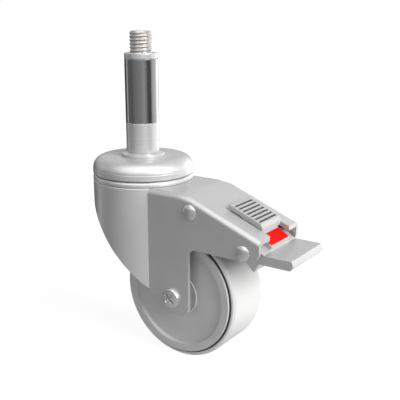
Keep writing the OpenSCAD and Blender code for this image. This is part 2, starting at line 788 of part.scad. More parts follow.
module return_spring() {
    sides = 8;
    steps = 16;
    rings = steps * spring_turns;
    length = fork_h - sheet_t - seat_h - 2 * spring_wire_r;
    points = [for (i = [0:rings], k = [0:sides - 1]) let (a = 360 * i / steps, b = 360 * k / sides,
        r = spring_r + spring_wire_r * cos(b))
        [r * cos(a), r * sin(a), spring_wire_r * (1 + sin(b)) + spring_rise(i / steps, length)]];
    sweep = [for (i = [0:rings - 1], k = [0:sides - 1]) let (j = (k + 1) % sides)
        [i * sides + k, i * sides + j, (i + 1) * sides + j, (i + 1) * sides + k]];
    color("silver") at_axle() translate([spring_x, 0, seat_h])
        polyhedron(points, concat(sweep, [[for (k = [sides - 1:-1:0]) k],
            [for (k = [0:sides - 1]) rings * sides + k]]));
}

// Side view of the pedal's full width: its hub, sloping front, plate and heel
module pedal_outline() {
    ridge_x = pedal_x - 2.2;
    lean = 0.6;
    heel_x = pedal_x + 4.3;
    translate(pedal_pin_at) circle(eye_r);
    polygon([[ridge_x, plate_top + (front_x - ridge_x) * tan(front_angle)], [front_x, plate_top],
        [pedal_end - lean - 0.5, plate_top], [pedal_end - lean, plate_top - 0.5],
        [pedal_end, pedal_low + plate_round], [pedal_end - plate_round, pedal_low], [heel_x + 2.9, pedal_low],
        [heel_x + 0.4, pedal_pin_at[1] - heel_drop + 0.2], [heel_x - 0.4, pedal_pin_at[1] - heel_drop],
        [pedal_x, pedal_pin_at[1] - 6.5], pedal_pin_at + [-3.4, -2.6], pedal_pin_at + [-4.2, 0],
        [ridge_x - 1.2, pedal_pin_at[1] + 4]]);
    translate([pedal_end - plate_round, pedal_low + plate_round]) circle(plate_round);
}

// Side view of the narrow block that passes up through the slot and carries the pad and the indicator
module block_outline() {
    front_top = slope_point(pad_slot_start - pad_nose + pad_l - 0.4, -pad_seat);
    polygon([slope_point(pad_slot_start + 0.9, -pad_seat), front_top,
        [front_top[0], face_low[1] + (face_low[0] - front_top[0]) * tan(front_angle)], face_low,
        face_low + [0, -0.8], [front_x - 0.7, plate_top + 0.3], [front_x - 0.7, plate_top - 1], pedal_pin_at,
        pedal_pin_at + [-5.6, 2.5], pedal_pin_at + [-6, 9]]);
}

// Side view of the cam: a spiral that keeps its distance from the lever's nose while both turn
module cam_outline() {
    run_in = 36;
    run_out = 8;
    growth = (cam_r1 - cam_r0) / (cam_to - cam_from);
    a0 = cam_from - run_in;
    a1 = cam_to + run_out;
    translate(pedal_pin_at) polygon(concat([[0, 0]], [for (i = [0:24]) let (a = a0 + (a1 - a0) * i / 24)
        (cam_r0 + (a - cam_from) * growth) * [cos(a), sin(a)]], [[0, -eye_r]]));
}

module indicator_band() {
    back = indicator_t * [sin(front_angle), cos(front_angle)];
    along = [-cos(front_angle), sin(front_angle)];
    low = face_low + 0.4 * along;
    high = face_low + (face_l - 0.4) * along;
    polygon([low, high, high - back, low - back]);
}

// Pockets under the plate, with two ribs between them
module plate_pockets() {
    from = front_x - 1;
    cell_w = (pedal_w - 4 * plate_skin) / 3;
    for (i = [-1:1]) translate([from, i * (cell_w + plate_skin) - cell_w / 2, pedal_low - 1])
        cube([pedal_end - plate_round - 1 - from, cell_w, plate_t - plate_skin + 1]);
}

module pedal() {
    color("silver") at_axle() difference() {
        union() {
            side(pedal_w / 2) pedal_outline();
            side(pad_w / 2 - 0.1) block_outline();
            side(lever_w / 2 - 1) cam_outline();
        }
        side(indicator_hw) indicator_band();
        plate_pockets();
        pin_hole(pedal_pin_at, pin_r);
    }
}

module indicator() color("red") at_axle() side(indicator_hw) indicator_band();

// Side view of the release pad: a nose that lies over the slope, and a foot that stands in the slot
module pad_outline() {
    edge_r = 1.3;
    over = 0.55;
    tip = pad_slot_start - pad_nose;
    end = tip + pad_l;
    polygon([slope_point(tip + edge_r, over), slope_point(pad_slot_start + 0.5, over),
        slope_point(pad_slot_start + 0.9, -pad_seat), slope_point(end + 1.2, -pad_seat),
        slope_point(end + 0.6, 1.1), slope_point(end + 0.2, 2.1), slope_point(end - 1.4, pad_rise - 0.4),
        slope_point(tip + 1.1, pad_rise), slope_point(tip, over + edge_r)]);
    translate(slope_point(tip + edge_r, over + edge_r)) circle(edge_r);
}

module release_pad() {
    first = pad_slot_start - pad_nose + 3.6;
    color("gray") at_axle() difference() {
        side(pad_w / 2) pad_outline();
        at_slope() for (i = [0:pad_grooves - 1]) translate([first + i * groove_pitch, 0, pad_rise])
            cube([groove_w, pad_w - 2.4, 2 * groove_depth], center = true);
    }
}

threaded_stud();
expander_nut();
expander_sleeve();
spacer_tube();
seat_washer();
top_cup();
upper_race();
lower_cup();
lower_race();
load_balls();
crown_race();
hold_balls();
hold_race();
lock_ring();
kingpin();
fork();
wheel_core();
tread();
outer_rings();
inner_rings();
wheel_balls();
dust_caps();
hub_spacer();
side_bushes();
axle_bolt();
axle_nut();
lever_pin();
pedal_pin();
pin_spacers();
brake_lever();
brake_shoe();
return_spring();
pedal();
release_pad();
indicator();
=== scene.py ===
# Looks of a swivel castor with an expanding stem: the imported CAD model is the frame, in metres
import json
import time
from math import cos, pi, radians, sin, tan

import bmesh
import bpy
import numpy as np
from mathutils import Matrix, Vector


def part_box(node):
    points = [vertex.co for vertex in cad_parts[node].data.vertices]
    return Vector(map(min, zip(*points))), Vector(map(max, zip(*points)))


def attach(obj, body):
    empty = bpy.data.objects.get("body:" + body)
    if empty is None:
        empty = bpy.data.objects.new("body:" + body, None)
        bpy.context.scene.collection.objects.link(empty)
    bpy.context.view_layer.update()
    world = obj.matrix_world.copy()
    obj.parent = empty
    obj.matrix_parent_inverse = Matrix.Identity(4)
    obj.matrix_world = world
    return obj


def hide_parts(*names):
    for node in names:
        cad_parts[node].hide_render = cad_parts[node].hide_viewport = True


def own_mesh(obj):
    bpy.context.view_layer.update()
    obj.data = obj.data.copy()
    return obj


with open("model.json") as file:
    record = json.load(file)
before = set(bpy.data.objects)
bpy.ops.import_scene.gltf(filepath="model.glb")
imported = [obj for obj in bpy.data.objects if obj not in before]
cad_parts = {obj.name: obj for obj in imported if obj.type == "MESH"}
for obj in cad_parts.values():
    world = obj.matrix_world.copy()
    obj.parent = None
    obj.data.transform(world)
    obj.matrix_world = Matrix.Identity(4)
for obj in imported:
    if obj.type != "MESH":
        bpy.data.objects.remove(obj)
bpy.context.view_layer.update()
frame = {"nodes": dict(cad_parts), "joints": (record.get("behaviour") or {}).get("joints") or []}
started = time.time()
mm = 0.001
jointAt = {joint["name"]: joint.get("pos_m") for joint in frame["joints"]}
axle = jointAt["wheel_spin"]


def report(text):
    print(f"{time.time() - started:6.1f} s  {text}")


# Surfaces: each is a pair, points and faces, worked out on a grid


# Rounds the corners of an outline: corner (r, h, round) becomes the circle arc of that radius that
# touches both of its edges, written as a rational quadratic curve from touch point to touch point. Where
# an edge is too short for both of its arcs, they share it in proportion to their sizes
def roundedOutline(corners, steps=5):
    corners = np.array(corners, float)
    at, size = corners[:, :2], corners[:, 2]
    back = np.roll(at, 1, 0) - at
    ahead = np.roll(at, -1, 0) - at
    backLength = np.linalg.norm(back, axis=1)
    aheadLength = np.linalg.norm(ahead, axis=1)
    back /= np.maximum(backLength, 1e-12)[:, None]
    ahead /= np.maximum(aheadLength, 1e-12)[:, None]
    half = np.arccos(np.clip((back * ahead).sum(1), -1, 1)) / 2
    wanted = size / np.tan(np.maximum(half, 1e-3))
    shares = [length * wanted / np.maximum(wanted + np.roll(wanted, step), 1e-12)
              for length, step in ((backLength, 1), (aheadLength, -1))]
    reach = np.minimum(wanted, np.minimum(*shares))
    first, last = at + back * reach[:, None], at + ahead * reach[:, None]
    t = np.linspace(0, 1, steps + 1)[None, :, None]
    weight = 2 * t * (1 - t) * np.sin(half)[:, None, None]
    blend = (1 - t) ** 2 + weight + t ** 2
    arcs = ((1 - t) ** 2 * first[:, None] + weight * at[:, None] + t ** 2 * last[:, None]) / blend
    keep = np.ones(arcs.shape[:2], bool)
    keep[size <= 0, 1:] = False
    return arcs[keep]


# Faces of a grid of rows by columns that closes round its columns, and round its rows where asked
def gridFaces(rows, columns, closedRows=False):
    row = np.arange(rows if closedRows else rows - 1)[:, None]
    column = np.arange(columns)[None, :]
    nextRow, nextColumn = (row + 1) % rows, (column + 1) % columns
    quads = np.stack([row * columns + column, row * columns + nextColumn,
                      nextRow * columns + nextColumn, nextRow * columns + column], -1)
    return quads.reshape(-1, 4)


# Closes the first and the last row of an open grid with a fan round a pole
def withPoles(points, faces, rows, columns, low, high):
    count = rows * columns
    column = np.arange(columns)
    after = (column + 1) % columns
    top = (rows - 1) * columns
    points = np.vstack([points, [low], [high]])
    lowFan = np.stack([np.full(columns, count), after, column], 1)
    highFan = np.stack([np.full(columns, count + 1), top + column, top + after], 1)
    return points, faces.tolist() + lowFan.tolist() + highFan.tolist()


# Puts a shape drawn about its own axis (a, b, h) where it belongs: about Z, or about Y at the axle
def placed(points, about="z", centre=(0, 0, 0)):
    order = {"z": (0, 1, 2), "y": (1, 2, 0)}[about]
    return points[:, order] + np.array(centre)


# A turned shape: an outline of radius and height carried round an axis. A closed outline makes a ring,
# and an open one starts and ends on the axis
def turnedShape(outline, about="z", centre=(0, 0, 0), segments=160, ring=True):
    outline = np.asarray(outline, float)[:, :2]
    nextPoint = np.roll(outline, -1, 0)
    if (outline[:, 0] * nextPoint[:, 1] - nextPoint[:, 0] * outline[:, 1]).sum() < 0:
        outline = outline[::-1]
    low, high = (0, 0, outline[0, 1]), (0, 0, outline[-1, 1])
    if not ring:
        outline = outline[1:-1]
    angle = np.linspace(0, 2 * pi, segments, endpoint=False)
    r, h = outline[:, :1], outline[:, 1:]
    points = np.stack([r * np.cos(angle), r * np.sin(angle), h + 0 * angle], -1).reshape(-1, 3)
    faces = gridFaces(len(outline), segments, ring)
    if not ring:
        points, faces = withPoles(points, faces, len(outline), segments, low, high)
    else:
        faces = faces.tolist()
    return placed(points, about, centre), faces


# A surface whose radius is a function of angle and height, closed at both ends
def barrelShape(radiusAt, heights, about="z", centre=(0, 0, 0), segments=144):
    angle = np.linspace(0, 2 * pi, segments, endpoint=False)[None, :]
    h = np.asarray(heights, float)[:, None]
    r = radiusAt(angle, h)
    points = np.stack([r * np.cos(angle), r * np.sin(angle), h + 0 * angle], -1).reshape(-1, 3)
    faces = gridFaces(len(heights), segments)
    points, faces = withPoles(points, faces, len(heights), segments, (0, 0, heights[0]), (0, 0, heights[-1]))
    return placed(points, about, centre), faces


# Radius of a screw thread: a triangle wave along the helix, flattened at crest and root
def threadRadius(angle, h, crest, pitch, depth):
    turn = h / pitch - angle / (2 * pi)
    wave = 1 - np.abs(2 * (turn - np.floor(turn)) - 1)
    return crest - depth * (1 - np.clip(1.35 * wave - 0.12, 0, 1))


# A hexagon bar: the distance to its wall is the flats' distance over the cosine of the angle from the
# nearest flat, and a 30 degree cone cuts its corners at the low end
def hexShape(acrossFlats, low, high, about="z", centre=(0, 0, 0), faceShare=0.97, segments=144):
    angle = np.linspace(0, 2 * pi, segments, endpoint=False)
    flat = acrossFlats / 2
    wall = flat / np.cos((angle + pi / 6) % (pi / 3) - pi / 6)
    face = flat * faceShare
    cut = (wall - face) * tan(radians(30))
    rows = [(face + 0 * angle, low + 0 * angle), (wall, low + cut), (wall, high + 0 * angle)]
    points = np.concatenate([np.stack([r * np.cos(angle), r * np.sin(angle), h], -1) for r, h in rows])
    points, faces = withPoles(points, gridFaces(len(rows), segments), len(rows), segments,
                              (0, 0, low), (0, 0, high))
    return placed(points, about, centre), faces


# Adds points to a closed outline where it passes the given values of its first coordinate
def withStops(outline, stops):
    points = []
    for here, after in zip(outline, np.roll(outline, -1, 0)):
        points.append(here)
        step = after[0] - here[0]
        crossed = [] if abs(step) < 1e-9 else [(stop - here[0]) / step for stop in stops]
        points += [here + share * (after - here) for share in sorted(crossed) if 1e-3 < share < 1 - 1e-3]
    return np.array(points)


# A prism across the castor: a closed side view (x, z) carried from side to side, its edges rounded, with
# extra columns at the given distances from the middle. Relief moves its points: it takes their places and
# the side view's outward normals, and gives how far each point lies below the plain face
def prism(outline, halfWidth, edge, stations=(), relief=None):
    outline = np.asarray(outline, float)
    ahead = np.roll(outline, -1, 0)
    if (outline[:, 0] * ahead[:, 1] - ahead[:, 0] * outline[:, 1]).sum() < 0:
        outline = outline[::-1]
    run = np.roll(outline, -1, 0) - outline
    run /= np.linalg.norm(run, axis=1)[:, None]
    mean = run + np.roll(run, 1, 0)
    mean /= np.linalg.norm(mean, axis=1)[:, None]
    normal = np.stack([mean[:, 1], -mean[:, 0]], 1)
    turn = np.linspace(0, pi / 2, 5)
    plain = np.zeros(2 * len(stations))
    inset = np.concatenate([edge * (1 - np.sin(turn)), plain, edge * (1 - np.cos(turn))])
    across = np.array(sorted(stations))
    y = np.concatenate([-halfWidth + edge * (1 - np.cos(turn)), -across[::-1], across,
                        halfWidth - edge * (1 - np.sin(turn))])
    section = outline[None] - normal[None] * inset[:, None, None]
    points = np.stack([section[..., 0], 0 * section[..., 0] + y[:, None], section[..., 1]], -1)
    if relief:
        depth = relief(points, normal)
        points[..., 0] -= depth * normal[None, :, 0]
        points[..., 2] -= depth * normal[None, :, 1]
    count = len(outline)
    faces = gridFaces(len(y), count).tolist()
    first, last = list(range(count)), list(range((len(y) - 1) * count, len(y) * count))
    return points.reshape(-1, 3), faces + [first, last]


# Pieces: a mesh from one or more surfaces, dressed and tied to the frame


def tie(piece, material, body, nodes):
    piece.data.materials.clear()
    piece.data.materials.append(material)
    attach(piece, body)
    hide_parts(*nodes)
    return piece


# Smooths the shading up to an angle, rounds sharp edges where asked, and lets broad faces stay flat
def smoothShading(piece, angle=35, bevel=0.0):
    mesh = piece.data
    mesh.polygons.foreach_set("use_smooth", np.ones(len(mesh.polygons), bool))
    if bevel:
        edge = piece.modifiers.new("edges", "BEVEL")
        edge.width = bevel
        edge.segments = 3
        edge.limit_method = "ANGLE"
        edge.angle_limit = radians(angle)
        edge.use_clamp_overlap = True
        edge.miter_outer = "MITER_ARC"
    else:
        mesh.set_sharp_from_angle(angle=radians(angle))
    weighted = piece.modifiers.new("normals", "WEIGHTED_NORMAL")
    weighted.keep_sharp = True
    weighted.weight = 60


def makePiece(name, surfaces, material, body, nodes, angle=35, bevel=0.0):
    points, faces, start = [], [], 0
    for surfacePoints, surfaceFaces in surfaces:
        points.append(surfacePoints)
        faces += [[start + index for index in face] for face in surfaceFaces]
        start += len(surfacePoints)
    mesh = bpy.data.meshes.new(name)
    mesh.from_pydata(np.vstack(points).tolist(), [], faces)
    work = bmesh.new()
    work.from_mesh(mesh)
    bmesh.ops.recalc_face_normals(work, faces=work.faces)
    work.to_mesh(mesh)
    work.free()
    piece = bpy.data.objects.new(name, mesh)
    bpy.context.scene.collection.objects.link(piece)
    smoothShading(piece, angle, bevel)
    return tie(piece, material, body, nodes)


# How far each point of a piece lies in a groove, as an attribute that its material reads to paint shade there
def markPaintedGrooveShade(piece, amounts):
    attribute = piece.data.attributes.new("groove", "FLOAT", "POINT")
    attribute.data.foreach_set("value", np.asarray(amounts, np.float32))


cleaning = {"merge": 2e-6, "degenerate": 1e-6, "flat": radians(0.3), "across": 0.98}


# A pressed or stamped piece: a copy of its CAD solid, merged, with its flat faces made whole and its edges
# rounded. Creases keep the bends that run straight across the castor
def softened(name, node, material, body, settings):
    source = frame["nodes"][node]
    mesh = source.data.copy()
    mesh.name = name
    work = bmesh.new()
    work.from_mesh(mesh)
    bmesh.ops.remove_doubles(work, verts=work.verts, dist=cleaning["merge"])
    bmesh.ops.dissolve_degenerate(work, edges=work.edges, dist=cleaning["degenerate"])
    bmesh.ops.dissolve_limit(work, angle_limit=cleaning["flat"], verts=work.verts, edges=work.edges)
    if "creaseAngle" in settings:
        for edge in work.edges:
            run = edge.verts[0].co - edge.verts[1].co
            isAcross = run.length > settings["creaseLength"] and abs(run.y) > cleaning["across"] * run.length
            if isAcross and edge.calc_face_angle(0) > settings["creaseAngle"]:
                edge.smooth = False
    work.to_mesh(mesh)
    work.free()
    piece = bpy.data.objects.new(name, mesh)
    bpy.context.scene.collection.objects.link(piece)
    smoothShading(piece, 35, settings["edge"])
    return tie(piece, material, body, [node])


# Shader maths: a socket that can be used in Python sums


class Wire:
    def __init__(self, tree, socket):
        self.tree = tree
        self.socket = socket

    def node(self, kind, settings, inputs, output=0):
        made = self.tree.nodes.new("ShaderNode" + kind)
        for key, value in settings.items():
            setattr(made, key, value)
        for key, value in inputs.items():
            if isinstance(value, Wire):
                self.tree.links.new(value.socket, made.inputs[key])
            else:
                made.inputs[key].default_value = value
        return Wire(self.tree, made.outputs[output])

    def math(self, operation, first, second=0.0):
        return self.node("Math", {"operation": operation}, {0: first, 1: second})

    def __add__(self, other):
        return self.math("ADD", self, other)

    def __radd__(self, other):
        return self.math("ADD", other, self)

    def __sub__(self, other):
        return self.math("SUBTRACT", self, other)

    def __rsub__(self, other):
        return self.math("SUBTRACT", other, self)

    def __mul__(self, other):
        return self.math("MULTIPLY", self, other)

    def __rmul__(self, other):
        return self.math("MULTIPLY", other, self)

    # Mixes two colours by this value
    def mixed(self, first, second):
        return self.node("Mix", {"data_type": "RGBA"}, {0: self, 6: first, 7: second}, 2)

    # Stretches a vector by three factors
    def scaled(self, factors):
        return self.node("VectorMath", {"operation": "MULTIPLY"}, {0: self, 1: factors})

    def noise(self, scale, detail, roughness=0.55):
        return self.node("TexNoise", {}, {"Vector": self, "Scale": scale, "Detail": detail,
                                          "Roughness": roughness})

    def voronoi(self, scale):
        return self.node("TexVoronoi", {"feature": "SMOOTH_F1"}, {"Vector": self, "Scale": scale,
                                                                  "Smoothness": 0.4})

    def between(self, low, high):
        return self.node("MapRange", {"clamp": True}, {"Value": self, "From Min": low, "From Max": high})


# Starts a material and gives its shader, its tree and the place on the object as a vector
def startMaterial(name, constants):
    material = bpy.data.materials.new(name)
    material.use_nodes = True
    tree = material.node_tree
    shader = tree.nodes["Principled BSDF"]
    for key, value in constants.items():
        shader.inputs[key].default_value = value
    place = tree.nodes.new("ShaderNodeTexCoord")
    return material, shader, Wire(tree, place.outputs["Object"])


def feed(shader, **links):
    names = {"colour": "Base Color", "roughness": "Roughness", "metallic": "Metallic", "normal": "Normal"}
    for key, wire in links.items():
        wire.tree.links.new(wire.socket, shader.inputs[names[key]])


def grey(level, warmth=0.0):
    return (level * (1 + warmth), level, level * (1 - warmth), 1)


def bumpOf(height, distance):
    return height.node("Bump", {}, {"Height": height, "Distance": distance, "Strength": 1.0})


plating = {"dragScale": (260, 260, 2600), "grainScale": 9000, "relief": 6e-6, "darker": 0.965,
           "lighter": 1.03, "tint": 0.004, "mottleShare": 0.7, "grainShare": 0.6, "mottledGloss": 0.12,
           "draggedGloss": 0.06}


# Pressed sheet: pale zinc plating with a soft mottle and the faint drag lines of the press
def plateMaterial(name, settings):
    material, shader, place = startMaterial(name, {"Metallic": settings["metallic"]})
    mottle = place.noise(settings["mottle"], 4)
    drag = place.scaled(plating["dragScale"]).noise(1.0, 2)
    grain = place.noise(plating["grainScale"], 2)
    tone = mottle.between(0.3, 0.7) * plating["mottleShare"] + drag * (1 - plating["mottleShare"])
    feed(shader, colour=tone.mixed(grey(settings["colour"] * plating["darker"], plating["tint"]),
                                   grey(settings["colour"] * plating["lighter"], -plating["tint"])),
         roughness=(settings["roughness"] + plating["mottledGloss"] * (mottle - 0.5)
                    + plating["draggedGloss"] * (drag - 0.5)),
         normal=bumpOf(grain * plating["grainShare"] + drag * (1 - plating["grainShare"]), plating["relief"]))
    return material


turning = {"stretch": {"z": (20, 20, 14000), "y": (20, 14000, 20)}, "mottleScale": 180, "relief": 4e-7,
           "darker": 0.97, "lighter": 1.03, "ringShare": 0.3, "ringedGloss": 0.06}


# Turned steel: fine rings round the piece's axis, about Z or about Y
def turnedMaterial(name, settings):
    material, shader, place = startMaterial(name, {"Metallic": settings["metallic"]})
    rings = place.scaled(turning["stretch"][settings["about"]]).noise(1.0, 2, 0.6)
    mottle = place.noise(turning["mottleScale"], 3)
    tone = rings * turning["ringShare"] + mottle * (1 - turning["ringShare"])
    warmth = settings.get("warmth", 0.0)
    feed(shader, colour=tone.mixed(grey(settings["colour"] * turning["darker"], warmth),
                                   grey(settings["colour"] * turning["lighter"], warmth)),
         roughness=settings["roughness"] + turning["ringedGloss"] * (rings - 0.5),
         normal=bumpOf(rings, turning["relief"]))
    return material


moulding = {"cloudScale": 70, "coatIor": 2.0, "coatRoughness": 0.12, "grainedGloss": 0.1}


# Moulded plastic or rubber: an even colour with a fine spark-eroded grain, and painted shade in its grooves
# if it has any
def mouldedMaterial(name, settings):
    material, shader, place = startMaterial(name, {
        "Specular IOR Level": settings.get("shine", 0.5), "Coat Weight": settings.get("coat", 0.0),
        "Coat IOR": moulding["coatIor"], "Coat Roughness": moulding["coatRoughness"]})
    cloud = place.noise(moulding["cloudScale"], 3)
    grain = place.voronoi(settings["grain"])
    colour = cloud.between(0.3, 0.7).mixed(settings["dark"], settings["light"])
    # Painted shade: the groove attribute mixes the colour towards the grooves colour, darkening grooves and
    # seams where shade falls
    if "grooves" in settings:
        sunk = place.node("Attribute", {"attribute_name": "groove"}, {}, "Fac")
        colour = sunk.mixed(colour, settings["grooves"])
    feed(shader, colour=colour, roughness=settings["roughness"] + moulding["grainedGloss"] * (grain - 0.4),
         normal=bumpOf(grain, settings["depth"]))
    return material


pressedSteel = plateMaterial("pressedSteel", {
    "colour": 0.5, "metallic": 0.25, "roughness": 0.33, "mottle": 90})
castMetal = plateMaterial("castMetal", {
    "colour": 0.52, "metallic": 0.25, "roughness": 0.36, "mottle": 140})
leverSteel = plateMaterial("leverSteel", {
    "colour": 0.36, "metallic": 0.5, "roughness": 0.42, "mottle": 120})
rivetSteel = plateMaterial("rivetSteel", {
    "colour": 0.46, "metallic": 0.6, "roughness": 0.24, "mottle": 240})
stemSteel = turnedMaterial("stemSteel", {
    "colour": 0.5, "metallic": 0.3, "roughness": 0.28, "about": "z"})
studSteel = turnedMaterial("studSteel", {
    "colour": 0.36, "metallic": 0.4, "roughness": 0.3, "about": "z", "warmth": 0.03})
crossSteel = turnedMaterial("crossSteel", {
    "colour": 0.5, "metallic": 0.55, "roughness": 0.26, "about": "y"})
bearingSteel = turnedMaterial("bearingSteel", {
    "colour": 0.7, "metallic": 0.7, "roughness": 0.2, "about": "z"})
sleeveRubber = mouldedMaterial("sleeveRubber", {
    "dark": (0.018, 0.018, 0.0185, 1), "light": (0.024, 0.024, 0.025, 1), "roughness": 0.2, "grain": 2600,
    "depth": 2e-6, "shine": 1.0, "coat": 1.0})
# The grooves colours of the tread and the pad are painted shade, dark where their grooves and seam would hold
# shadow
treadRubber = mouldedMaterial("treadRubber", {
    "dark": (0.72, 0.72, 0.715, 1), "light": (0.76, 0.76, 0.755, 1), "roughness": 0.5, "grain": 1500,
    "depth": 1.2e-5, "grooves": (0.035, 0.035, 0.035, 1)})
coreNylon = mouldedMaterial("coreNylon", {
    "dark": (0.63, 0.63, 0.63, 1), "light": (0.68, 0.68, 0.68, 1), "roughness": 0.48, "grain": 2200,
    "depth": 1e-5})
padPlastic = mouldedMaterial("padPlastic", {
    "dark": (0.46, 0.46, 0.46, 1), "light": (0.5, 0.5, 0.5, 1), "roughness": 0.45, "grain": 2600,
    "depth": 8e-6, "grooves": (0.03, 0.03, 0.03, 1)})
spacerNylon = mouldedMaterial("spacerNylon", {
    "dark": (0.70, 0.69, 0.65, 1), "light": (0.76, 0.75, 0.71, 1), "roughness": 0.45, "grain": 2600,
    "depth": 6e-6})
shoeRubber = mouldedMaterial("shoeRubber", {
    "dark": (0.03, 0.03, 0.03, 1), "light": (0.04, 0.04, 0.04, 1), "roughness": 0.6, "grain": 1800,
    "depth": 1.2e-5})
indicatorRed = mouldedMaterial("indicatorRed", {
    "dark": (0.8, 0.004, 0.003, 1), "light": (0.85, 0.005, 0.004, 1), "roughness": 0.35, "grain": 2600,
    "depth": 3e-6, "shine": 0.05})
report("materials")

stud = {"radius": 6.35 * mm, "pitch": 1.954 * mm, "threadDepth": 0.62 * mm, "threadLength": 24 * mm,
        "rowsPerTurn": 14, "runOut": 0.1 * mm, "segments": 120, "chamfer": 1.2 * mm, "chamferSlope": 0.8,
        "headFlats": 19 * mm, "headHeight": 7.5 * mm, "clearance": 0.05 * mm}


# A shank that is plain from its foot to its thread. The thread grows in over its first turn and ends in
# a chamfer
def threadedShank(settings, foot, end, about="z", centre=(0, 0, 0)):
    radius, pitch = settings["radius"], settings["pitch"]
    threadLow = end - settings["threadLength"]
    rows = int(settings["threadLength"] / pitch * settings["rowsPerTurn"])
    heights = np.concatenate([[foot, threadLow - settings["runOut"]], np.linspace(threadLow, end, rows)])

    def radiusAt(angle, h):
        crest = radius - np.maximum(h - end + settings["chamfer"], 0) * settings["chamferSlope"]
        depth = settings["threadDepth"] * np.clip((h - threadLow) / pitch, 0, 1)
        return np.minimum(threadRadius(angle, h, radius, pitch, depth), crest)

    return barrelShape(radiusAt, heights, about, centre, settings["segments"])


def makeStud():
    low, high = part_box("threaded_stud")
    headTop = low.z + stud["headHeight"]
    surfaces = [threadedShank(stud, headTop, high.z), hexShape(stud["headFlats"], low.z, headTop)]
    makePiece("threadedStud", surfaces, studSteel, "stud", ["threaded_stud"], angle=50)


# A turned ring that fills the box of its CAD node and clears the stud, with softened edges
def collar(name, node, edge, material, body):
    low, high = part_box(node)
    inner = stud["radius"] + stud["clearance"]
    outline = roundedOutline([(inner, low.z, edge / 2), (high.x, low.z, edge), (high.x, high.z, edge),
                              (inner, high.z, edge / 2)])
    return makePiece(name, [turnedShape(outline)], material, body, [node])


nut = {"edge": 0.6 * mm}
sleeve = {"edge": 0.25 * mm, "squeeze": 0.918}
spacer = {"edge": 0.25 * mm}
makeStud()
collar("expanderNut", "expander_nut", nut["edge"], stemSteel, "nut")
rubber = collar("expanderSleeve", "expander_sleeve", sleeve["edge"], sleeveRubber, "stem")
collar("spacerTube", "spacer_tube", spacer["edge"], stemSteel, "stem")

washer = {"cone": 0.8 * mm, "edge": 0.3 * mm}


def makeSeatWasher():
    low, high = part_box("seat_washer")
    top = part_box("spacer_tube")[1].x
    inner, edge = stud["radius"] + stud["clearance"], washer["edge"]
    outline = roundedOutline([(inner, low.z, 0), (high.x, low.z, edge / 2),
                              (high.x, high.z - washer["cone"], edge), (top, high.z, edge),
                              (inner, high.z, 0)])
    makePiece("seatWasher", [turnedShape(outline)], stemSteel, "stem", ["seat_washer"])


makeSeatWasher()
report("stem")

head = {"shoulder": 6.5 * mm, "sheet": 2.4 * mm, "bore": 8.25 * mm, "edge": 0.7 * mm, "lip": 1.6 * mm,
        "innerEdge": 0.3 * mm, "floor": 1.2 * mm, "floorHole": 9.5 * mm, "floorEdge": 0.2 * mm,
        "bandStep": 0.12 * mm, "bandHeight": 3.2 * mm, "segments": 224}


# The upper cup: a dome with a rounded shoulder over a plain band, open below
def makeTopCup():
    low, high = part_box("top_cup")
    r, t, bore, step = high.x, head["sheet"], head["bore"], head["bandStep"]
    band = low.z + head["bandHeight"]
    corners = [(r - t, low.z, head["innerEdge"]), (r, low.z, head["edge"]), (r, band, head["edge"]),
               (r - step, band + step, 0), (r - step, high.z, head["shoulder"] - step), (bore, high.z, 0),
               (bore, high.z - t, 0), (r - t, high.z - t, head["shoulder"] - t)]
    surface = turnedShape(roundedOutline(corners, 12), segments=head["segments"])
    makePiece("topCup", [surface], pressedSteel, "stem", ["top_cup"], angle=30)


# The lower cup: a floor with a hole and an upright rim whose lip is rounded
def makeLowerCup():
    low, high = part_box("lower_cup")
    r, t, edge, hole = high.x, head["sheet"], head["innerEdge"], head["floorHole"]
    floorTop = low.z + head["floor"]
    corners = [(hole, low.z, head["floorEdge"]), (r, low.z, head["edge"]), (r, high.z, head["lip"]),
               (r - t, high.z, edge), (r - t, floorTop, edge), (hole, floorTop, head["floorEdge"])]
    surface = turnedShape(roundedOutline(corners, 6), segments=head["segments"])
    makePiece("lowerCup", [surface], pressedSteel, "swivel", ["lower_cup"], angle=30)


makeTopCup()
makeLowerCup()
report("swivel head")

core = {"half": 16 * mm, "flange": 1.1 * mm, "rimInner": 29.9 * mm, "rimEdge": 0.2 * mm,
        "discDepth": 1.7 * mm, "wallSlope": 0.6 * mm, "hub": 12.3 * mm, "hubEdge": 0.15 * mm,
        "bearing": 11 * mm, "bearingWidth": 7 * mm, "bore": 7.2 * mm, "treadSeat": 31 * mm,
        "treadFoot": 34.1 * mm, "segments": 256}
cap = {"width": 1 * mm, "bore": 6 * mm, "gap": 0.12 * mm, "sunk": 0.04 * mm, "edge": 0.2 * mm,
       "boreEdge": 0.15 * mm}


# Half of the wheel core's outline, from its bore over hub, disc and rim to the tread's seat, is mirrored
def makeWheelCore():
    hw, small, edge = core["half"], core["hubEdge"], core["rimEdge"]
    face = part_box("dust_caps")[1].y
    disc = hw - core["discDepth"]
    wall = core["rimInner"] - core["wallSlope"]
    foot, seat = core["treadFoot"], core["treadSeat"]
    seatHalf = hw - core["flange"]
    inside = face - cap["width"] - core["bearingWidth"]
    half = [(core["bore"], inside, 0), (core["bearing"], inside, 0), (core["bearing"], face, small),
            (core["hub"], face, edge), (core["hub"], disc, small), (wall, disc, edge),
            (core["rimInner"], hw, edge), (foot, hw, edge), (foot, seatHalf, 0), (seat, seatHalf, 0)]
    mirroredHalf = [(r, -h, size) for r, h, size in half[::-1]]
    surface = turnedShape(roundedOutline(half + mirroredHalf, 5), "y", axle, core["segments"])
    makePiece("wheelCore", [surface], coreNylon, "wheel", ["wheel_core"], angle=30)


tread = {"flatHalf": 14.2 * mm, "edge": 1.1 * mm, "seam": 0.45 * mm, "seamWidth": 1.1 * mm,
         "seamRound": 0.1 * mm, "seamBlur": 0.1 * mm, "lipDrop": 0.2 * mm, "lipRound": 0.15 * mm,
         "gap": 0.02 * mm, "sideRound": 0.9 * mm, "topRound": 1.2 * mm, "sideSlope": 0.35 * mm}
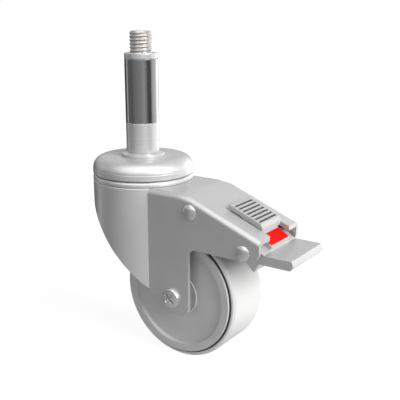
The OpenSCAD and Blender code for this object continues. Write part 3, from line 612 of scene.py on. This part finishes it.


# The tread's outline steps down into a seam beside the rim, which its material darkens with painted shade
def makeTread():
    low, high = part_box("tread")
    r = (high.x - low.x) / 2
    hw, flat, edge, blur = high.y, tread["flatHalf"], tread["edge"], tread["seamBlur"]
    seat, foot = core["treadSeat"], core["treadFoot"]
    side, floor = foot + tread["seamWidth"], hw - tread["seam"]
    half = [(seat, hw - tread["gap"], 0), (foot - blur, floor, 0), (side, floor, tread["seamRound"]),
            (side + blur, hw - tread["lipDrop"], tread["lipRound"]),
            (r - edge, flat + tread["sideSlope"], tread["sideRound"]), (r, flat - edge, tread["topRound"])]
    mirroredHalf = [(a, -h, size) for a, h, size in half[::-1]]
    surface = turnedShape(roundedOutline(half + mirroredHalf, 6), "y", axle, core["segments"])
    piece = makePiece("solidTread", [surface], treadRubber, "wheel", ["tread"], angle=30)
    radius = np.hypot(surface[0][:, 0] - axle[0], surface[0][:, 2] - axle[2])
    # Painted shade: the seam's floor is marked for the material's dark grooves colour
    markPaintedGrooveShade(piece, np.clip((side + blur / 2 - radius) / blur, 0, 1))


# Dust caps close the hub beside the axle's bushes
def makeDustCaps():
    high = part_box("dust_caps")[1]
    outer, inner = core["bearing"] - cap["gap"], cap["bore"]
    caps = []
    for side in (-1, 1):
        h0, h1 = sorted((side * (high.y - cap["width"]), side * (high.y - cap["sunk"])))
        outline = roundedOutline([(inner, h0, cap["boreEdge"]), (outer, h0, cap["edge"]),
                                  (outer, h1, cap["edge"]), (inner, h1, cap["boreEdge"])])
        caps.append(turnedShape(outline, "y", axle, 128))
    makePiece("dustCaps", caps, coreNylon, "wheel", ["dust_caps"], angle=30)


makeWheelCore()
makeTread()
makeDustCaps()
report("wheel")

fork = {"half": 21.4 * mm, "edge": 0.3 * mm, "creaseLength": 5 * mm, "creaseAngle": radians(4)}
bolt = {"head": 6 * mm, "headHeight": 2.6 * mm, "domeShare": 0.3, "edgeShare": 0.14, "edgePower": 2.2,
        "radius": 4 * mm, "pitch": 1.25 * mm, "threadDepth": 0.5 * mm, "threadLength": 12 * mm,
        "rowsPerTurn": 13.6, "runOut": 0.1 * mm, "segments": 96, "chamfer": 0.8 * mm, "chamferSlope": 0.9}
recess = {"width": 1.15 * mm, "length": 3.1 * mm, "depth": 1.7 * mm, "core": 1.25 * mm,
          "wallSlope": 0.3 * mm, "endSlope": 0.9 * mm, "coreSlope": 0.5 * mm, "rings": 88, "spokes": 320}


# The bolt's pan head is a height over the disc: a flat dome that falls off at its edge, with a cross sunk
# into it, whose depth is the deeper of two arms and a round core, eased at the walls
def panHead(y0, outward):
    rings, spokes = recess["rings"], recess["spokes"]
    share = np.linspace(0, 1, rings + 1)[1:, None]
    angle = np.linspace(0, 2 * pi, spokes, endpoint=False)[None, :]
    r = share * bolt["head"]
    a, b = r * np.cos(angle + pi / 4), r * np.sin(angle + pi / 4)
    rim = np.clip((share - 1) / bolt["edgeShare"] + 1, 0, 1)
    fall = bolt["domeShare"] * share ** 2 + (1 - bolt["domeShare"]) * rim ** bolt["edgePower"]
    dome = bolt["headHeight"] * (1 - fall)
    across = np.minimum(np.abs(a), np.abs(b))
    along = np.maximum(np.abs(a), np.abs(b))
    inArm = np.clip((recess["width"] / 2 - across) / recess["wallSlope"] + 0.5, 0, 1)
    inLength = np.clip((recess["length"] - along) / recess["endSlope"] + 0.5, 0, 1)
    inCore = np.clip((recess["core"] - np.hypot(a, b)) / recess["coreSlope"] + 0.5, 0, 1)
    sunk = np.maximum(inArm * inLength, inCore)
    sunk = sunk * sunk * (3 - 2 * sunk)
    points = np.stack([r * np.cos(angle), r * np.sin(angle), dome - recess["depth"] * sunk], -1)
    points = np.concatenate([points, points[-1:] * (1, 1, 0)])[::-1].reshape(-1, 3)
    middle = (0, 0, bolt["headHeight"] - recess["depth"])
    points, faces = withPoles(points, gridFaces(rings + 1, spokes), rings + 1, spokes, (0, 0, 0), middle)
    return placed(points, "y", axle) * (1, outward, 1) + (0, y0, 0), faces


def makeAxleBolt():
    shank = threadedShank(bolt, -fork["half"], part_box("axle_bolt")[1].y, "y", axle)
    makePiece("axleBolt", [shank, panHead(-fork["half"], -1)], crossSteel, "swivel", ["axle_bolt"],
              angle=50)


axleNut = {"flats": 13 * mm, "collarShare": 0.28, "collarInset": 0.3 * mm, "collarRound": 1.1 * mm,
           "crownWidth": 1.2 * mm, "crownHeight": 0.4 * mm, "crownRound": 0.4 * mm, "bore": 4.6 * mm,
           "boreEdge": 0.3 * mm, "insertBore": 4.05 * mm, "insertOuter": 4.75 * mm, "insertSunk": 0.5 * mm,
           "insertEdge": 0.1 * mm}


# The axle nut: a hexagon with a round collar, in which a nylon insert grips the thread
def makeAxleNut():
    low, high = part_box("axle_nut")
    hexTop = high.y - (high.y - low.y) * axleNut["collarShare"]
    foot, insertTop = hexTop - mm, high.y - axleNut["insertSunk"]
    hexagon = hexShape(axleNut["flats"], low.y, hexTop, "y", axle)
    rim, bore = axleNut["flats"] / 2 - axleNut["collarInset"], axleNut["bore"]
    collarOutline = roundedOutline([
        (bore, foot, 0), (rim, foot, 0), (rim, high.y - axleNut["crownHeight"], axleNut["collarRound"]),
        (rim - axleNut["crownWidth"], high.y, axleNut["crownRound"]), (bore, high.y, axleNut["boreEdge"])])
    insertBore, insertOuter = axleNut["insertBore"], axleNut["insertOuter"]
    insert = roundedOutline([(insertBore, foot, 0), (insertOuter, foot, 0), (insertOuter, insertTop, 0),
                             (insertBore, insertTop, axleNut["insertEdge"])])
    makePiece("axleNut", [hexagon, turnedShape(collarOutline, "y", axle, 96)], crossSteel, "swivel",
              ["axle_nut"], angle=30)
    makePiece("nutInsert", [turnedShape(insert, "y", axle, 96)], spacerNylon, "swivel", [])


makeAxleBolt()
makeAxleNut()

rivet = {"pin": 2.5 * mm, "head": 4.25 * mm, "foot": 4.165 * mm, "rise": 1.7 * mm, "edge": 0.55 * mm,
         "edgeTop": 0.495 * mm, "gap": 0.1 * mm, "capShare": 0.97}


# A rivet's head is the cap of a ball on a small upright edge, a hair clear of the fork's wall
def makeRivet(name, node, joint):
    x, _, z = jointAt[joint]
    height = rivet["rise"] - rivet["edge"]
    ball = (rivet["head"] ** 2 + height ** 2) / (2 * height)
    angle = np.linspace(np.arcsin(rivet["head"] / ball) * rivet["capShare"], 0, 12)
    foot, edge, top = (fork["half"] + rivet[level] for level in ("gap", "edgeTop", "rise"))
    side = np.stack([np.append([rivet["pin"], rivet["foot"], rivet["head"]], ball * np.sin(angle)),
                     np.append([foot, foot, edge], top - ball + ball * np.cos(angle))], 1)
    outline = np.vstack([side[::-1] * (1, -1), side])
    surface = turnedShape(outline, "y", (x, 0, z), 96, ring=False)
    makePiece(name, [surface], rivetSteel, "swivel", [node], angle=40)


makeRivet("leverPin", "lever_pin", "lever_swing")
makeRivet("pedalPin", "pedal_pin", "pedal_rock")
report("axle and rivets")

spring = {"wire": 0.5 * mm, "radius": 3.4 * mm, "turns": 5, "endGap": 0.1 * mm, "squeeze": 0.88}


# The return spring: a circle carried along a helix whose end turns lie close
def makeSpring():
    low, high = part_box("return_spring")
    centre = ((low.x + high.x) / 2, 0, low.z)
    radius, wire, turns = spring["radius"], spring["wire"], spring["turns"]
    length = high.z - low.z - 2 * wire
    closed = 2 * wire + spring["endGap"]
    free = (length - 2 * closed) / (turns - 2)
    u = np.linspace(0, turns, turns * 48 + 1)
    rise = np.interp(u, (0, 1, turns - 1, turns), (0, closed, closed + (turns - 2) * free, length))
    around = np.linspace(0, 2 * pi, 16, endpoint=False)
    r = radius + wire * np.cos(around)[None, :]
    h = rise[:, None] + wire * (1 + np.sin(around))[None, :]
    a = 2 * pi * u[:, None]
    points = np.stack([r * np.cos(a), r * np.sin(a), h], -1)
    ends = [(radius * cos(2 * pi * end), radius * sin(2 * pi * end), height + wire)
            for end, height in ((0, 0), (turns, length))]
    points, faces = withPoles(points.reshape(-1, 3), gridFaces(len(u), 16), len(u), 16, *ends)
    return makePiece("returnSpring", [(placed(points, "z", centre), faces)], leverSteel, "swivel",
                     ["return_spring"], angle=60)


coil = makeSpring()
lever = {"edge": 0.2 * mm}
shoe = {"edge": 0.2 * mm}
lockRing = {"edge": 0.15 * mm}
softened("forkPressing", "fork", pressedSteel, "swivel", fork)
softened("leverStamping", "brake_lever", leverSteel, "lever", lever)
softened("brakeShoe", "brake_shoe", shoeRubber, "lever", shoe)
softened("lockRing", "lock_ring", leverSteel, "stem", lockRing)
report("pressed pieces")

slope = {"start": np.array((48.5, -16.637)) * mm, "angle": radians(20.6)}
down = np.array((cos(slope["angle"]), -sin(slope["angle"])))
out = np.array((sin(slope["angle"]), cos(slope["angle"])))


# Side-view corners in millimetres (distance down the fork's steep slope, height over it, rounding), in place
def onSlope(corners):
    s, h, size = (np.array(corners, float) * mm).T[:, :, None]
    return np.hstack([slope["start"] + s * down + h * out, size])


# Side-view corners in millimetres (x, height above the axle, rounding), in place
def overAxle(corners):
    return np.array(corners, float) * mm + (0, axle[2], 0)


# How far a place is inside a band, from 0 outside it to 1 inside it
def inBand(values, low, high, blur):
    return np.clip((values - low) / blur + 0.5, 0, 1) * np.clip((high - values) / blur + 0.5, 0, 1)


# In the values of the pad, the pedal and the inlay, side-view places and sizes without mm are in millimetres
pad = {"tip": 17.0, "length": 22.6, "rise": 3.2, "foot": 0.55, "seat": 1.5, "slotEnd": 26.0,
       "halfWidth": 9.9 * mm, "edge": 0.45 * mm, "firstGroove": 3.6, "groovePitch": 2.65, "grooves": 7,
       "grooveWidth": 1.25, "grooveDepth": 0.75 * mm, "grooveHalf": 8.7 * mm, "blur": 0.16}


# The pad's side view has a row of points at both walls of each groove
def makeReleasePad():
    tip, end, foot, seat, rise = pad["tip"], pad["tip"] + pad["length"], pad["foot"], pad["seat"], pad["rise"]
    half, blur = pad["grooveWidth"] / 2, pad["blur"]
    outline = roundedOutline(onSlope([
        (tip, foot, 1.1), (pad["slotEnd"] + 0.5, foot, 0), (pad["slotEnd"] + 0.9, -seat, 0),
        (end + 1.2, -seat, 0.3), (end + 0.5, 1.3, 0.5), (end - 1.4, rise - 0.4, 0.9),
        (tip + 1.1, rise, 0.7)]), 6)
    grooves = [tip + pad["firstGroove"] + index * pad["groovePitch"] for index in range(pad["grooves"])]
    stops = [(groove + side * (half + shift)) * mm for groove in grooves for side in (-1, 1)
             for shift in (-blur / 2, blur / 2)]
    local = outline - slope["start"]
    local = withStops(np.column_stack([local @ down, local @ out]), stops)
    outline = slope["start"] + local[:, :1] * down + local[:, 1:] * out
    stations = [pad["grooveHalf"] + side * blur * mm / 2 for side in (-1, 1)]

    def relief(points, normal):
        s = (points[..., [0, 2]] - slope["start"]) @ down / mm
        onTop = (normal @ out > 0.9)[None, :]
        groove = sum(inBand(s, middle - half, middle + half, blur) for middle in grooves)
        return (pad["grooveDepth"] * groove * onTop
                * inBand(points[..., 1], -pad["grooveHalf"], pad["grooveHalf"], blur * mm))

    plain = prism(outline, pad["halfWidth"], pad["edge"], stations)
    surface = prism(outline, pad["halfWidth"], pad["edge"], stations, relief)
    piece = makePiece("releasePad", [surface], padPlastic, "rocker", ["release_pad"], angle=30)
    # Painted shade: how deep each point is sunk into a groove marks it for the material's dark grooves colour
    markPaintedGrooveShade(piece, np.linalg.norm(surface[0] - plain[0], axis=1) / pad["grooveDepth"])


pedal = {"pin": (81.5, 35.3), "halfWidth": 17.2 * mm, "edge": 0.5 * mm, "hub": 4.5, "plateLow": 29.6,
         "plateTop": 35.2, "front": 91.9, "end": 108.3, "blockHalf": 9.8 * mm, "blockEdge": 0.25 * mm}
pocket = {"depth": 3.6 * mm, "ends": (90.9, 104.7), "width": 8.8, "pitch": 10.8, "blur": 0.2 * mm}
cam = {"start": radians(139.8), "stop": radians(204), "reach": 6.71, "growth": 1.2, "half": 7 * mm,
       "edge": 0.2 * mm}


# The foot plate, with pockets sunk into its underside between ribs
def pedalPlate():
    x, z = pedal["pin"]
    low, top, end, blur = pedal["plateLow"], pedal["plateTop"], pedal["end"], pocket["blur"]
    outline = roundedOutline(overAxle([
        (79.3, 42.475, 0.8), (pedal["front"], top, 0.9), (end - 0.8, top, 0.6), (end, 32.2, 0.9),
        (end - 1.6, low, 2.0), (88.7, low, 0.8), (86.2, 25.0, 0.4), (85.4, 24.8, 0.4), (x, 28.8, 0.5),
        (78.1, 32.7, 1), (77.3, z, 1), (78.1, 39.3, 1)]), 6)
    near, far = (value * mm for value in pocket["ends"])
    half, pitch = pocket["width"] / 2, pocket["pitch"]
    cells = [((middle - half) * mm, (middle + half) * mm) for middle in (-pitch, 0, pitch)]
    walls = sorted({round(abs(wall), 7) for cell in cells for wall in cell})
    stations = [wall + side * blur / 2 for wall in walls for side in (-1, 1)]
    stops = [value + side * blur / 2 for value in (near, far) for side in (-1, 1)]

    def relief(points, normal):
        under = (normal[:, 1] < -0.99)[None, :] * inBand(points[..., 0], near, far, blur)
        return pocket["depth"] * under * sum(inBand(points[..., 1], *cell, blur) for cell in cells)

    return prism(withStops(outline, stops), pedal["halfWidth"], pedal["edge"], stations, relief)


# The cam's side view is a spiral whose radius grows with its angle, closed through the pin
def pedalCam():
    x, z = pedal["pin"]
    sweep = np.linspace(cam["start"], cam["stop"], 30)
    radius = cam["reach"] + cam["growth"] * (sweep - cam["start"])
    spiral = np.column_stack([x + radius * np.cos(sweep), z + radius * np.sin(sweep)])
    outline = overAxle([(*place, 0) for place in (*spiral, (x, z - pedal["hub"]), (x, z))])
    return prism(outline[:, :2], cam["half"], cam["edge"])


def makePedal():
    x, z = pedal["pin"]
    angle = np.linspace(0, 2 * pi, 64, endpoint=False)
    hub = overAxle(np.column_stack([x + pedal["hub"] * np.cos(angle), z + pedal["hub"] * np.sin(angle),
                                    0 * angle]))
    block = roundedOutline(overAxle([
        (73.15, 48.595, 0.4), (84.665, 44.269, 0.3), (84.665, 42.343, 0), (92.1, 38.05, 0.25),
        (92.1, 37.25, 0.3), (91.2, 35.5, 0.3), (91.2, 34.2, 0), (x, z, 0), (75.9, 37.8, 0.5),
        (75.5, 44.3, 0.5)]))
    surfaces = [pedalPlate(), prism(hub[:, :2], pedal["halfWidth"], pedal["edge"]),
                prism(block, pedal["blockHalf"], pedal["blockEdge"]), pedalCam()]
    makePiece("pedalBody", surfaces, castMetal, "rocker", ["pedal"], angle=30)


inlay = {"low": (92.1, 38.05), "from": 0.4, "to": 8.1, "proud": 0.05, "thickness": 1.0, "angle": radians(30),
         "halfWidth": 9.5 * mm, "edge": 0.12}


def makeIndicator():
    along = np.array((-cos(inlay["angle"]), sin(inlay["angle"])))
    outward = np.array((sin(inlay["angle"]), cos(inlay["angle"])))
    first, last, proud, sunk = inlay["from"], inlay["to"], inlay["proud"], -inlay["thickness"]
    places = [inlay["low"] + s * along + h * outward
              for s, h in ((first, proud), (last, proud), (last, sunk), (first, sunk))]
    outline = roundedOutline(overAxle([(*place, inlay["edge"]) for place in places]))
    surface = prism(outline, inlay["halfWidth"], inlay["edge"] * mm)
    makePiece("redInlay", [surface], indicatorRed, "rocker", ["indicator"], angle=40)


makeReleasePad()
makePedal()
makeIndicator()
report("pedal and pad")


# CAD nodes whose shape is right as it is get their finish in place
def dress(node, material):
    mesh = frame["nodes"][node].data
    mesh.materials.clear()
    mesh.materials.append(material)


for node in ("upper_race", "lower_race", "load_balls", "crown_race", "hold_balls", "hold_race", "outer_rings",
             "inner_rings", "wheel_balls"):
    dress(node, bearingSteel)
dress("kingpin", stemSteel)
dress("hub_spacer", crossSteel)
dress("side_bushes", crossSteel)
dress("pin_spacers", spacerNylon)
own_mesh(rubber)
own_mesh(coil)
report("inner pieces")

view = {"azimuth": 34.819, "elevation": 15.25, "at": (0.24793, -0.29836, 0.07539), "width": 33.112}


def makeCamera():
    data = bpy.data.cameras.new("camera")
    data.sensor_fit = "HORIZONTAL"
    data.angle = radians(view["width"])
    data.clip_start = 0.01
    camera = bpy.data.objects.new("camera", data)
    camera.location = view["at"]
    camera.rotation_euler = (radians(90 - view["elevation"]), 0, radians(view["azimuth"]))
    bpy.context.scene.collection.objects.link(camera)
    bpy.context.scene.camera = camera


studio = {"key": 3.4, "keyFrom": (0.9, -0.02, 0.46), "keySpread": 40, "fill": 0.315, "dim": 0.07,
          "panels": ((12, 30, 92, 112, 1.7), (58, 72, 92, 106, 1.6), (-120, -36, -30, -6, 1.05),
                     (-172, -167, -164, -159, 1.2), (-200, -190, -100, -60, 0.3)),
          "panelTop": (0.5, 0.25), "skyFrom": (0.1, 0.25), "sky": 1.0}
softBox = {"toward": (0.45, -0.56, 0.7), "edge": (0.48, 0.82), "foot": (0.2, 0.45), "glow": 3.2}
ground = {"size": 4.0, "gap": 0.02 * mm, "colour": 0.5, "glow": 0.72, "white": 1.29}


# A sun stands in the direction it shines from, softened by its angle
def makeSun(name, toward, strength, spread):
    data = bpy.data.lights.new(name, "SUN")
    data.energy = strength
    data.angle = radians(spread)
    lamp = bpy.data.objects.new(name, data)
    direction = np.array(toward, float)
    direction /= np.linalg.norm(direction)
    lamp.rotation_euler = (np.arccos(direction[2]), 0, np.arctan2(direction[1], direction[0]) + pi / 2)
    bpy.context.scene.collection.objects.link(lamp)


# Brightness of the panels that stand round the castor, which only reflections see, by the bearing of a
# place in degrees: each begins at one bearing, is full from the next to the third, ends at the fourth and
# adds its strength
def panelGlow(place):
    x, y = (place.node("SeparateXYZ", {}, {0: place}, axis) for axis in (0, 1))
    bearing = y.math("ARCTAN2", y, x) * (180 / pi)
    total = studio["dim"]
    for begins, full, fades, ends, strength in studio["panels"]:
        total = bearing.between(begins, full) * bearing.between(ends, fades) * strength + total
    return total


# What reflections see above the floor: the panels up to their tops, a pale sky, and a soft box over the
# camera, whose edge is a range of cosines and whose foot is a range of heights
def skyGlow(direction):
    height = direction.node("SeparateXYZ", {}, {0: direction}, 2)
    aim = direction.node("VectorMath", {"operation": "DOT_PRODUCT"}, {0: direction, 1: softBox["toward"]}, 1)
    return (panelGlow(direction) * height.between(*studio["panelTop"])
            + height.between(*studio["skyFrom"]) * studio["sky"]
            + aim.between(*softBox["edge"]) * height.between(*softBox["foot"]) * softBox["glow"])


def rays(tree):
    path = tree.nodes.new("ShaderNodeLightPath")
    return Wire(tree, path.outputs["Is Camera Ray"]), Wire(tree, path.outputs["Is Glossy Ray"])


def makeWorld():
    world = bpy.data.worlds.new("studio")
    bpy.context.scene.world = world
    world.use_nodes = True
    tree = world.node_tree
    background = tree.nodes["Background"]
    background.inputs["Color"].default_value = (1, 1, 1, 1)
    camera, glossy = rays(tree)
    direction = Wire(tree, tree.nodes.new("ShaderNodeTexCoord").outputs["Generated"])
    unseen = glossy * (skyGlow(direction) - studio["fill"]) + studio["fill"]
    strength = camera * (1 - unseen) + unseen
    tree.links.new(strength.socket, background.inputs["Strength"])


# The floor lies where the wheel meets it. It scatters light as a pale grey, and where it is seen it has a
# glow of its own, so that it is white in the light and keeps the castor's shadow
def makeFloor():
    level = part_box("tread")[0].z - ground["gap"]
    size = ground["size"]
    corners = [(-size, -size, level), (size, -size, level), (size, size, level), (-size, size, level)]
    mesh = bpy.data.meshes.new("floor")
    mesh.from_pydata(corners, [], [(0, 1, 2, 3)])
    floor = bpy.data.objects.new("floor", mesh)
    bpy.context.scene.collection.objects.link(floor)
    material = bpy.data.materials.new("floor")
    material.use_nodes = True
    tree = material.node_tree
    tree.nodes.remove(tree.nodes["Principled BSDF"])
    camera, glossy = rays(tree)
    place = Wire(tree, tree.nodes.new("ShaderNodeTexCoord").outputs["Object"])
    scatter = camera.node("BsdfDiffuse", {}, {"Color": grey(ground["colour"])})
    white = camera.node("Emission", {}, {"Color": (1, 1, 1, 1), "Strength": ground["white"]})
    panels = camera.node("Emission", {}, {"Color": (1, 1, 1, 1), "Strength": panelGlow(place)})
    shown = camera.node("MixShader", {}, {0: camera * ground["glow"], 1: scatter, 2: white})
    shown = camera.node("MixShader", {}, {0: glossy, 1: shown, 2: panels})
    tree.links.new(shown.socket, tree.nodes["Material Output"].inputs["Surface"])
    mesh.materials.append(material)


makeCamera()
makeWorld()
makeSun("key", studio["keyFrom"], studio["key"], studio["keySpread"])
makeFloor()
bpy.context.scene.view_settings.view_transform = "Standard"
report("camera and studio")
